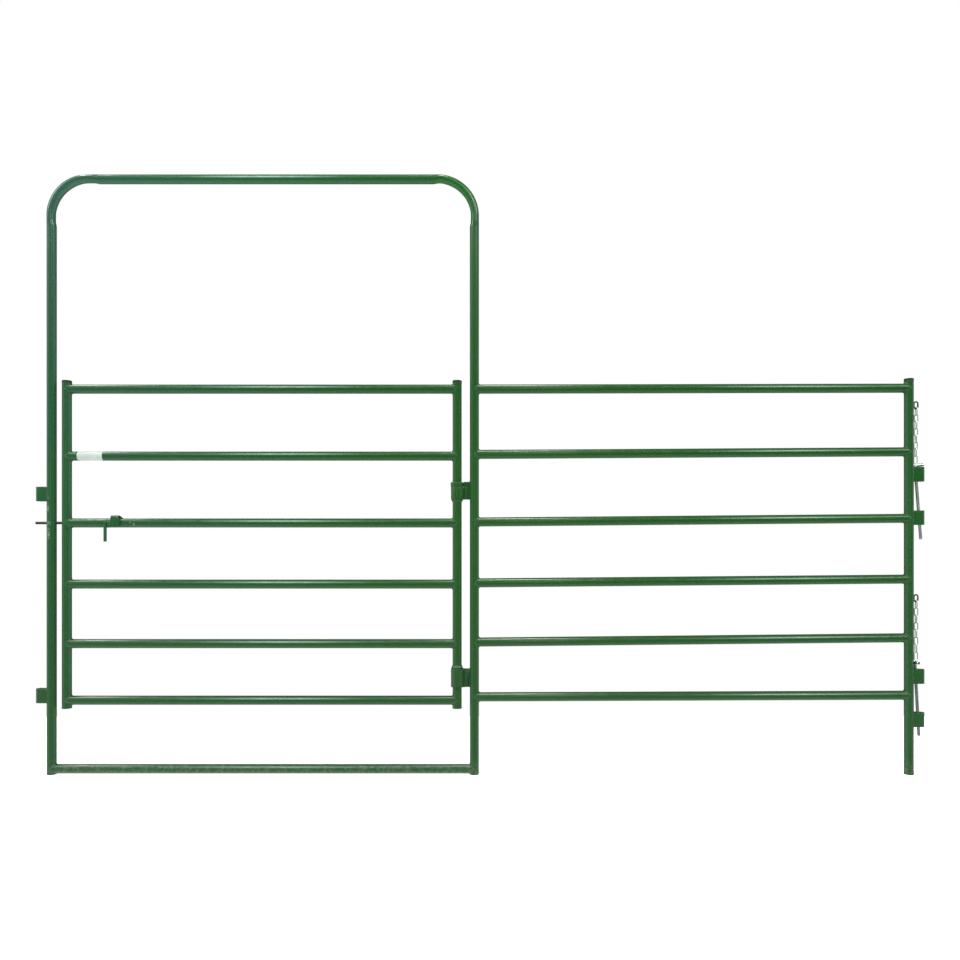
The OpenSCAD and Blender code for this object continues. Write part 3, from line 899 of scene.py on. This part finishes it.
X0, X1 = -1650.5 * MM, -1546.5 * MM
ZR = span("gate_rail_2")[2].z
NU, NV = 56, 26
A_LO, A_HI = radians(-86), radians(84)
RC = 9 * MM
outer_g, inner_g = [], []
height = (A_HI - A_LO) * R
for j in range(NV + 1):
    ang = A_LO + (A_HI - A_LO) * j / NV
    v = height * j / NV
    edge = min(v, height - v)
    inset = RC - sqrt(max(0.0, RC * RC - max(0.0, RC - edge) ** 2)) if edge < RC else 0.0
    ro_, ri_ = [], []
    for i in range(NU + 1):
        x = X0 + inset + (X1 - X0 - 2 * inset) * i / NU
        lift = 0.28 * MM + 0.16 * MM * max(0.0, noise.noise(Vector((x * 70, ang * 1.6, 1.7))))
        for r_, row in ((R + lift, ro_), (R - 0.15 * MM, ri_)):
            row.append(Vector((x, -r_ * cos(ang), ZR + r_ * sin(ang))))
    outer_g.append(ro_)
    inner_g.append(ri_)
verts = [p for row in outer_g for p in row] + [p for row in inner_g for p in row]
W1 = NU + 1
off = (NV + 1) * W1
faces = []
for j in range(NV):
    for i in range(NU):
        a = j * W1 + i
        faces.append((a, a + 1, a + W1 + 1, a + W1))
        faces.append((off + a, off + a + W1, off + a + W1 + 1, off + a + 1))
rim = [(0, i) for i in range(NU)] + [(j, NU) for j in range(NV)] + [(NV, i) for i in range(NU, 0, -1)] + [(j, 0) for j in range(NV, 0, -1)]
for k in range(len(rim)):
    a = rim[k][0] * W1 + rim[k][1]
    b = rim[(k + 1) % len(rim)][0] * W1 + rim[(k + 1) % len(rim)][1]
    faces.append((a, b, off + b, off + a))
sh = Shape()
sh.add(verts, faces)
sh.make("bare_label", "gate", M_LABEL, sharp=50)

# ---------------------------------------------------------------- floor, light and surroundings


def flat_material(name, colour, glow):
    mat = bpy.data.materials.new(name)
    nt, b = nodes_of(mat)
    n = Net(nt)
    col = n.mix(n.range(n.noise(1.3, 2.0), 0.35, 0.65), colour, tuple(c * 0.985 for c in colour))
    nt.links.new(col, b.inputs["Base Color"])
    b.inputs["Roughness"].default_value = 0.9
    b.inputs["Specular IOR Level"].default_value = 0.1
    b.inputs["Emission Color"].default_value = (1, 1, 1, 1)
    b.inputs["Emission Strength"].default_value = glow
    return mat


me = bpy.data.meshes.new("floor")
FX, FY0, FY1 = 3.2, -2.6, 1.2
me.from_pydata([(-FX, FY0, -0.0005), (FX, FY0, -0.0005), (FX, FY1, -0.0005), (-FX, FY1, -0.0005)], [], [(0, 1, 2, 3)])
floor = bpy.data.objects.new("floor", me)
scene.collection.objects.link(floor)
me.materials.append(flat_material("floor_white", (0.76, 0.77, 0.77), 0.80))
floor.visible_glossy = False


world = bpy.data.worlds.new("surroundings")
scene.world = world
world.use_nodes = True
nt = world.node_tree
nt.nodes.clear()
wout = nt.nodes.new("ShaderNodeOutputWorld")
tc = nt.nodes.new("ShaderNodeTexCoord")
sep = nt.nodes.new("ShaderNodeSeparateXYZ")
nt.links.new(tc.outputs["Generated"], sep.inputs[0])
DX, DY, DZ = sep.outputs


def wr(sock, a, b, c, d):
    m = nt.nodes.new("ShaderNodeMapRange")
    m.interpolation_type = "SMOOTHSTEP"
    nt.links.new(sock, m.inputs["Value"])
    for key, v in (("From Min", a), ("From Max", b), ("To Min", c), ("To Max", d)):
        m.inputs[key].default_value = v
    return m.outputs["Result"]


def wm(op, *args):
    m = nt.nodes.new("ShaderNodeMath")
    m.operation = op
    for k, v in enumerate(args):
        if isinstance(v, (int, float)):
            m.inputs[k].default_value = v
        else:
            nt.links.new(v, m.inputs[k])
    return m.outputs[0]


def tinted(colour, amount):
    m = nt.nodes.new("ShaderNodeVectorMath")
    m.operation = "SCALE"
    m.inputs[0].default_value = colour
    nt.links.new(amount, m.inputs["Scale"])
    return m.outputs[0]


def plus(a, b):
    m = nt.nodes.new("ShaderNodeVectorMath")
    m.operation = "ADD"
    nt.links.new(a, m.inputs[0])
    nt.links.new(b, m.inputs[1])
    return m.outputs[0]


# E is the height angle seen along the panel: 0 in front, 90 overhead, 180 behind.
# S is the slope to the right. A level tube mirrors one S all along its length of sight.
flat = wm("MAXIMUM", wm("SQRT", wm("ADD", wm("MULTIPLY", DY, DY), wm("MULTIPLY", DZ, DZ))), 0.02)
S = wm("DIVIDE", DX, flat)
E = wm("MULTIPLY", wm("ARCTAN2", DZ, wm("MULTIPLY", DY, -1.0)), 180 / pi)


def lobe(s0, ws, e0, we, colour, level):
    """A soft-edged light at slope s0 and height angle e0."""
    a = wm("POWER", wm("ABSOLUTE", wm("DIVIDE", wm("SUBTRACT", S, s0), ws)), 3.0)
    b = wm("POWER", wm("ABSOLUTE", wm("DIVIDE", wm("SUBTRACT", E, e0), we)), 3.0)
    g = wm("EXPONENT", wm("MULTIPLY", wm("ADD", a, b), -1.0))
    return tinted(colour, wm("MULTIPLY", g, level))


# dark on the working side, white at the sides, dim behind and high up
turned = wm("SUBTRACT", DY, wm("MULTIPLY", DX, 0.2))
around = wr(turned, -1.0, -0.05, 0.10, 0.84)
around = wm("MULTIPLY", around, wr(DY, 0.25, 0.85, 1.0, 0.22))
around = wm("MULTIPLY", around, wr(DZ, 0.10, 0.52, 1.0, 0.22))
below = wm("MULTIPLY", wr(DZ, -0.20, -0.72, 0.0, 0.32), wr(DY, 0.2, 0.8, 1.0, 0.25))
light = tinted((1.0, 1.0, 1.0), wm("ADD", around, below))
# a broad overhead sheet
sheet = wm("MULTIPLY", wr(E, 8, 42, 0.0, 1.0), wr(E, 84, 106, 1.0, 0.12))
sheet = wm("MULTIPLY", sheet, wr(S, -0.18, 0.12, 0.44, 0.27))
light = plus(light, tinted((0.98, 1.0, 0.95), sheet))
# strip lights across it
light = plus(light, lobe(-0.522, 0.062, 90, 17, (1.0, 1.0, 0.95), 20.0))
light = plus(light, lobe(-0.268, 0.058, 46, 22, (0.78, 1.0, 0.95), 13.0))
light = plus(light, lobe(0.002, 0.058, 80, 12, (1.0, 1.0, 0.93), 19.0))
light = plus(light, lobe(-0.098, 0.050, 66, 17, (1.0, 1.0, 0.94), 0.9))
light = plus(light, lobe(0.030, 0.050, 2.5, 4.5, (1.0, 1.0, 0.94), 2.5))
light = plus(light, lobe(0.345, 0.066, 38, 17, (0.90, 1.0, 0.90), 12.5))
light = plus(light, lobe(0.540, 0.042, 49, 8, (0.96, 1.0, 0.94), 22.0))
light = plus(light, lobe(0.050, 0.036, 37, 6, (1.0, 1.0, 0.94), 8.0))
# two large key lights, high on the left and the right, clear of the tubes' mirror angles
light = plus(light, lobe(-1.30, 0.50, 56, 18, (0.98, 1.0, 1.0), 8.0))
light = plus(light, lobe(1.30, 0.50, 56, 18, (1.0, 1.0, 0.98), 8.0))

glow = nt.nodes.new("ShaderNodeBackground")
nt.links.new(light, glow.inputs["Color"])
plain = nt.nodes.new("ShaderNodeBackground")
plain.inputs["Color"].default_value = (1, 1, 1, 1)
plain.inputs["Strength"].default_value = 1.0
path_node = nt.nodes.new("ShaderNodeLightPath")
mix = nt.nodes.new("ShaderNodeMixShader")
nt.links.new(path_node.outputs["Is Camera Ray"], mix.inputs[0])
nt.links.new(glow.outputs[0], mix.inputs[1])
nt.links.new(plain.outputs[0], mix.inputs[2])
nt.links.new(mix.outputs[0], wout.inputs["Surface"])

scene.view_settings.view_transform = "Standard"
scene.view_settings.look = "None"

# ---------------------------------------------------------------- the end

bpy.context.view_layer.update()
